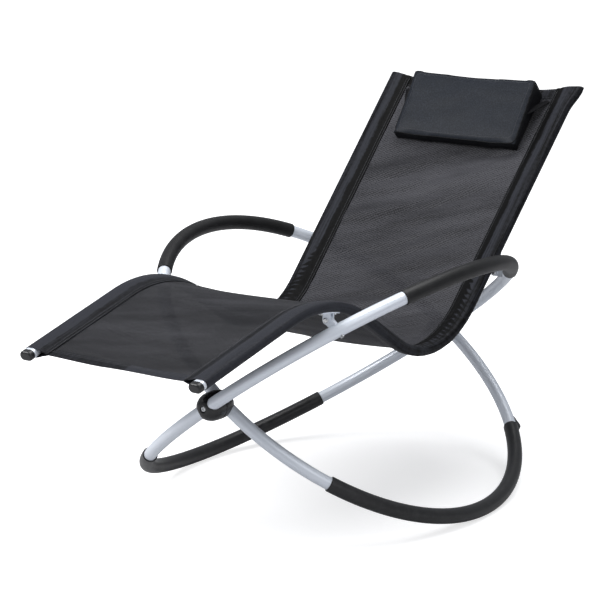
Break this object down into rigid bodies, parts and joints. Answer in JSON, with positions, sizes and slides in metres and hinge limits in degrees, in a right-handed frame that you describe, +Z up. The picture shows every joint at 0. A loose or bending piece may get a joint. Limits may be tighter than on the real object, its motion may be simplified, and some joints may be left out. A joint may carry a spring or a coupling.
{
  "type": "rocking chaise lounge",
  "caption": "Folding rocking lounger: two crossed tube rings as armrests and rockers, S-shaped sling seat and a head pillow",
  "frame": {"origin": "centre of the footprint of the whole object at floor level", "axes": "+Z up, +Y from the foot end to the head end, +X to the left of a person sitting in it"},
  "size_m": [0.7796, 1.4631, 0.8744],
  "materials": {
    "silver_paint": "satin",
    "foam": "matte",
    "black_rubber": "matte",
    "hub_plastic": "satin",
    "cap_plastic": "satin",
    "zinc": "satin",
    "band_cloth": "matte",
    "mesh_cloth": "matte",
    "pillow_cloth": "matte",
    "elastic": "matte"
  },
  "bodies": {
    "left_ring": {"left_arm_tube": "silver_paint", "left_rocker_tube": "silver_paint", "left_arm_grip": "foam", "left_rocker_sleeve": "black_rubber", "left_rocker_stopper": "black_rubber", "left_front_hub_shell": "hub_plastic", "left_rear_hub_shell": "hub_plastic", "left_front_post": "silver_paint", "left_rear_post": "silver_paint", "left_post_screws": "zinc", "front_pivot_bolt": "zinc", "rear_pivot_bolt": "zinc", "pivot_nuts": "zinc", "front_hub_washer": "hub_plastic", "rear_hub_washer": "hub_plastic"},
    "right_ring": {"right_arm_tube": "silver_paint", "right_rocker_tube": "silver_paint", "right_arm_grip": "foam", "right_rocker_sleeve": "black_rubber", "right_rocker_stopper": "black_rubber", "right_front_hub_shell": "hub_plastic", "right_rear_hub_shell": "hub_plastic", "right_front_post": "silver_paint", "right_rear_post": "silver_paint", "right_post_screws": "zinc"},
    "left_rail": {"left_rail_tube": "silver_paint", "left_foot_cap": "cap_plastic", "left_head_cap": "cap_plastic", "left_front_bracket": "silver_paint", "left_rear_bracket": "silver_paint", "left_bracket_screws": "zinc", "left_hinge_bolts": "zinc", "left_hinge_nuts": "zinc", "left_sling_pocket": "band_cloth", "sling_mesh": "mesh_cloth"},
    "right_rail": {"right_rail_tube": "silver_paint", "right_foot_cap": "cap_plastic", "right_head_cap": "cap_plastic", "right_front_bracket": "silver_paint", "right_rear_bracket": "silver_paint", "right_bracket_screws": "zinc", "right_hinge_bolts": "zinc", "right_hinge_nuts": "zinc", "right_sling_pocket": "band_cloth"},
    "pillow": {"head_pillow": "pillow_cloth", "pillow_strap": "elastic"}
  },
  "joints": [
    {"name": "fold", "type": "hinge", "parent": "left_ring", "child": "right_ring", "pos_m": [0, 0.08157, 0.29109], "axis": [0, 0.9994, -0.0339], "range_deg": [0, 76], "deforming": ["sling_mesh", "head_pillow", "pillow_strap"]},
    {"name": "left_rail_hinge", "type": "hinge", "parent": "left_ring", "child": "left_rail", "pos_m": [0.21993, -0.28845, 0.50129], "axis": [0.0234, 0.9992, -0.0338], "range_deg": [0, 38]},
    {"name": "right_rail_hinge", "type": "hinge", "parent": "right_ring", "child": "right_rail", "pos_m": [-0.22051, -0.26345, 0.49759], "axis": [-0.0234, 0.9992, -0.0338], "range_deg": [-38, 0]},
    {"name": "pillow_slide", "type": "slide", "parent": "left_rail", "child": "pillow", "axis": [0, 0.7278, 0.6858], "range_m": [-0.2, 0.05]}
  ],
  "couplings": [
    {"joint": "left_rail_hinge", "follows": "fold", "ratio": 0.5},
    {"joint": "right_rail_hinge", "follows": "fold", "ratio": -0.5}
  ]
}
